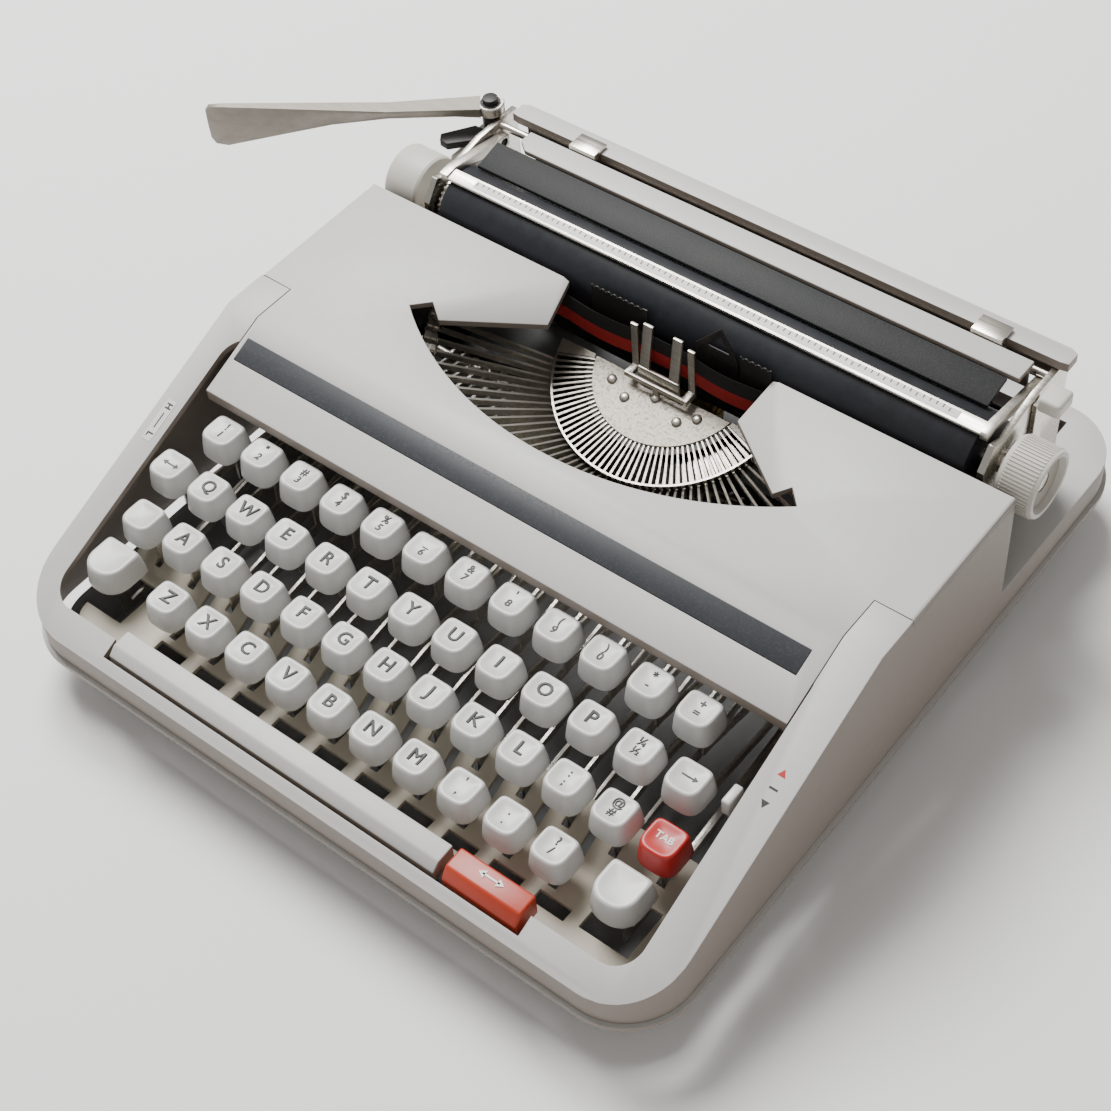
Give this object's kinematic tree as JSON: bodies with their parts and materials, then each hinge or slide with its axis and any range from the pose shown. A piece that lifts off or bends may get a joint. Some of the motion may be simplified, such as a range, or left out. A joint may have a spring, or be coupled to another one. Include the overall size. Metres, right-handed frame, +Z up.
{
  "type": "typewriter",
  "caption": "Portable manual typewriter with sloping keyboard, lift-off ribbon cover, typebar segment, sliding carriage, rubber platen and long return lever.",
  "frame": {"origin": "centre of the four rubber feet, on the plane they rest on", "axes": "+X to the typist's right, +Y towards the back, +Z up"},
  "size_m": [0.3496, 0.299, 0.106],
  "materials": {
    "casing_plastic": "satin moulded",
    "base_plastic": "satin moulded",
    "foot_rubber": "matte",
    "cream_plate": "satin moulded",
    "dark_steel": "black oxide",
    "bright_steel": "drawn",
    "warm_casting": "matt ground",
    "black_enamel": "semi gloss enamel",
    "ribbon_cloth": "inked weave, black over red",
    "bell_metal": "spun",
    "charcoal_trim": "satin foil",
    "spool_metal": "enamel",
    "key_plastic": "moulded with dark legends",
    "brass_gear": "cut",
    "red_plastic": "moulded with a white legend",
    "orange_plastic": "moulded with a white arrow",
    "nickel_steel": "nickel plated",
    "wrinkle_black": "wrinkle finish",
    "platen_rubber": "ground rubber",
    "cream_plastic": "satin moulded",
    "beige_metal": "metallic lacquer"
  },
  "bodies": {
    "chassis": {"body_shell": "casing_plastic", "base_pan": "base_plastic", "rubber_feet": "foot_rubber", "keyboard_plate": "cream_plate", "mechanism_frame": "dark_steel", "mechanism_posts": "dark_steel", "key_pivot_shaft": "bright_steel", "carriage_rail": "bright_steel", "segment": "warm_casting", "typebars": "bright_steel", "type_guide": "bright_steel", "line_scales": "black_enamel", "ribbon_cups": "dark_steel", "ribbon": "ribbon_cloth", "bell": "bell_metal"},
    "cover": {"ribbon_cover": "casing_plastic", "cover_strip": "charcoal_trim"},
    "typebar_f": {"typebar_f": "bright_steel"},
    "typebar_j": {"typebar_j": "bright_steel"},
    "spool_left": {"ribbon_spool_left": "spool_metal"},
    "spool_right": {"ribbon_spool_right": "spool_metal"},
    "vibrator": {"ribbon_vibrator": "bright_steel"},
    "selector": {"colour_selector": "key_plastic"},
    "spring_drum": {"mainspring_drum": "dark_steel"},
    "escapement": {"escapement_wheel": "brass_gear"},
    "key_row_1": {"key_row_1": "key_plastic"},
    "key_row_2": {"key_row_2": "key_plastic"},
    "key_row_3": {"key_row_3": "key_plastic"},
    "key_row_4": {"key_row_4": "key_plastic"},
    "key_f": {"key_f": "key_plastic"},
    "key_j": {"key_j": "key_plastic"},
    "tab_key": {"tab_key": "red_plastic"},
    "backspace_key": {"backspace_key": "key_plastic"},
    "margin_release_key": {"margin_release_key": "key_plastic"},
    "shift_lock_key": {"shift_lock_key": "key_plastic"},
    "shift_keys": {"shift_key_left": "key_plastic", "shift_key_right": "key_plastic"},
    "space_bar": {"space_bar": "key_plastic"},
    "repeat_space_key": {"repeat_space_key": "orange_plastic"},
    "truck": {"carriage_truck": "dark_steel", "carriage_rack": "bright_steel"},
    "carriage": {"carriage_end_plates": "nickel_steel", "carriage_bed": "dark_steel", "paper_pan": "black_enamel", "paper_table": "wrinkle_black", "carriage_top_plate": "casing_plastic", "margin_rail": "nickel_steel", "rear_bar": "casing_plastic", "lever_post": "black_enamel"},
    "platen": {"platen": "platen_rubber", "platen_shaft": "nickel_steel", "platen_knob_left": "cream_plastic", "platen_knob_right": "cream_plastic"},
    "feed_rollers": {"feed_rollers": "platen_rubber"},
    "paper_bail": {"paper_bail": "nickel_steel"},
    "return_lever": {"return_lever": "beige_metal"},
    "margin_stop_left": {"margin_stop_left": "nickel_steel"},
    "margin_stop_right": {"margin_stop_right": "nickel_steel"},
    "paper_release": {"paper_release_lever": "beige_metal"},
    "carriage_release": {"carriage_release_lever": "cream_plastic"}
  },
  "joints": [
    {"name": "cover_lift", "type": "slide", "parent": "chassis", "child": "cover", "axis": [0, 0, -1], "range_m": [-0.06, 0]},
    {"name": "key_f_press", "type": "hinge", "parent": "chassis", "child": "key_f", "pos_m": [0, 0.05, 0.018], "axis": [1, 0, 0], "range_deg": [0, 3.5], "stiffness_Nm_per_rad": 0.5, "springref_deg": -5.73},
    {"name": "key_j_press", "type": "hinge", "parent": "chassis", "child": "key_j", "pos_m": [0, 0.05, 0.018], "axis": [-1, 0, 0], "range_deg": [-3.5, 0], "stiffness_Nm_per_rad": 0.5, "springref_deg": 5.73},
    {"name": "typebar_f_swing", "type": "hinge", "parent": "chassis", "child": "typebar_f", "pos_m": [-0.00125, 0.02094, 0.03988], "axis": [-0.9996, 0.027, 0.0088], "range_deg": [0, 105.5]},
    {"name": "typebar_j_swing", "type": "hinge", "parent": "chassis", "child": "typebar_j", "pos_m": [0.00623, 0.02135, 0.04001], "axis": [0.9899, 0.1347, 0.0438], "range_deg": [-105.5, 0]},
    {"name": "spool_right_turn", "type": "hinge", "parent": "chassis", "child": "spool_right", "pos_m": [0.112, 0.024, 0.07], "axis": [0, 0, 1], "continuous": true},
    {"name": "spool_left_turn", "type": "hinge", "parent": "chassis", "child": "spool_left", "pos_m": [-0.112, 0.024, 0.07], "axis": [0, 0, 1], "continuous": true},
    {"name": "vibrator_lift", "type": "slide", "parent": "chassis", "child": "vibrator", "axis": [0, 0, 1], "range_m": [0, 0.005]},
    {"name": "selector_tilt", "type": "hinge", "parent": "chassis", "child": "selector", "pos_m": [0.1226, -0.046, 0.044], "axis": [1, 0, 0], "range_deg": [-5, 5]},
    {"name": "carriage_travel", "type": "slide", "parent": "chassis", "child": "truck", "axis": [1, 0, 0], "range_m": [-0.115, 0.105]},
    {"name": "spring_drum_turn", "type": "hinge", "parent": "chassis", "child": "spring_drum", "pos_m": [-0.088, 0.106, 0.02], "axis": [0, 0, 1], "range_deg": [-510, 510]},
    {"name": "escapement_turn", "type": "hinge", "parent": "chassis", "child": "escapement", "pos_m": [0, 0.077, 0.0288], "axis": [0, 1, 0], "range_deg": [-830, 830]},
    {"name": "key_row_1_press", "type": "hinge", "parent": "chassis", "child": "key_row_1", "pos_m": [0, 0.05, 0.018], "axis": [1, 0, 0], "range_deg": [0, 4.69], "stiffness_Nm_per_rad": 6, "springref_deg": -5.73},
    {"name": "key_row_2_press", "type": "hinge", "parent": "chassis", "child": "key_row_2", "pos_m": [0, 0.05, 0.018], "axis": [1, 0, 0], "range_deg": [0, 3.99], "stiffness_Nm_per_rad": 5.5, "springref_deg": -5.73},
    {"name": "key_row_3_press", "type": "hinge", "parent": "chassis", "child": "key_row_3", "pos_m": [0, 0.05, 0.018], "axis": [1, 0, 0], "range_deg": [0, 3.29], "stiffness_Nm_per_rad": 4.5, "springref_deg": -5.73},
    {"name": "key_row_4_press", "type": "hinge", "parent": "chassis", "child": "key_row_4", "pos_m": [0, 0.05, 0.018], "axis": [1, 0, 0], "range_deg": [0, 2.91], "stiffness_Nm_per_rad": 5, "springref_deg": -5.73},
    {"name": "tab_press", "type": "hinge", "parent": "chassis", "child": "tab_key", "pos_m": [0, 0.05, 0.018], "axis": [1, 0, 0], "range_deg": [0, 3.29], "stiffness_Nm_per_rad": 0.5, "springref_deg": -5.73},
    {"name": "backspace_press", "type": "hinge", "parent": "chassis", "child": "backspace_key", "pos_m": [0, 0.05, 0.018], "axis": [1, 0, 0], "range_deg": [0, 3.99], "stiffness_Nm_per_rad": 0.5, "springref_deg": -5.73},
    {"name": "margin_release_press", "type": "hinge", "parent": "chassis", "child": "margin_release_key", "pos_m": [0, 0.05, 0.018], "axis": [1, 0, 0], "range_deg": [0, 2.66], "stiffness_Nm_per_rad": 0.5, "springref_deg": -5.73},
    {"name": "shift_lock_press", "type": "hinge", "parent": "chassis", "child": "shift_lock_key", "pos_m": [0, 0.05, 0.018], "axis": [1, 0, 0], "range_deg": [0, 1.93], "stiffness_Nm_per_rad": 0.5, "springref_deg": -5.73},
    {"name": "shift_press", "type": "hinge", "parent": "chassis", "child": "shift_keys", "pos_m": [0, 0.05, 0.018], "axis": [1, 0, 0], "range_deg": [0, 2.93], "stiffness_Nm_per_rad": 4, "springref_deg": -5.73},
    {"name": "space_bar_press", "type": "slide", "parent": "chassis", "child": "space_bar", "axis": [0, 0, -1], "range_m": [0, 0.0035], "stiffness_N_per_m": 120, "springref_m": -0.006},
    {"name": "repeat_space_press", "type": "slide", "parent": "chassis", "child": "repeat_space_key", "axis": [0, 0, -1], "range_m": [0, 0.0035], "stiffness_N_per_m": 80, "springref_m": -0.006},
    {"name": "carriage_shift", "type": "slide", "parent": "truck", "child": "carriage", "axis": [0, 0, 1], "range_m": [0, 0.006]},
    {"name": "platen_turn", "type": "hinge", "parent": "carriage", "child": "platen", "pos_m": [0.005, 0.07325, 0.078], "axis": [1, 0, 0], "continuous": true},
    {"name": "feed_roller_turn", "type": "hinge", "parent": "carriage", "child": "feed_rollers", "pos_m": [0.005, 0.07325, 0.05775], "axis": [1, 0, 0], "continuous": true},
    {"name": "paper_bail_lift", "type": "hinge", "parent": "carriage", "child": "paper_bail", "pos_m": [0.005, 0.1, 0.088], "axis": [-1, 0, 0], "range_deg": [0, 50]},
    {"name": "return_lever_swing", "type": "hinge", "parent": "carriage", "child": "return_lever", "pos_m": [-0.1205, 0.1065, 0.096], "axis": [0, 0, 1], "range_deg": [0, 28]},
    {"name": "margin_stop_left_slide", "type": "slide", "parent": "carriage", "child": "margin_stop_left", "axis": [1, 0, 0], "range_m": [-0.03, 0.06]},
    {"name": "margin_stop_right_slide", "type": "slide", "parent": "carriage", "child": "margin_stop_right", "axis": [1, 0, 0], "range_m": [-0.06, 0.013]},
    {"name": "paper_release_tilt", "type": "hinge", "parent": "carriage", "child": "paper_release", "pos_m": [0.127, 0.092, 0.058], "axis": [-1, 0, 0], "range_deg": [0, 12]},
    {"name": "carriage_release_tilt", "type": "hinge", "parent": "carriage", "child": "carriage_release", "pos_m": [-0.1175, 0.092, 0.058], "axis": [-1, 0, 0], "range_deg": [0, 10], "stiffness_Nm_per_rad": 0.1, "springref_deg": -8.59}
  ],
  "couplings": [
    {"joint": "typebar_f_swing", "follows": "key_f_press", "ratio": 30},
    {"joint": "typebar_j_swing", "follows": "key_j_press", "ratio": 30},
    {"joint": "spool_left_turn", "follows": "spool_right_turn", "ratio": 1.25},
    {"joint": "spring_drum_turn", "follows": "carriage_travel", "rad_per_m": -76.9},
    {"joint": "escapement_turn", "follows": "carriage_travel", "rad_per_m": 125},
    {"joint": "carriage_shift", "follows": "shift_press", "m_per_rad": 0.115},
    {"joint": "feed_roller_turn", "follows": "platen_turn", "ratio": -3}
  ]
}
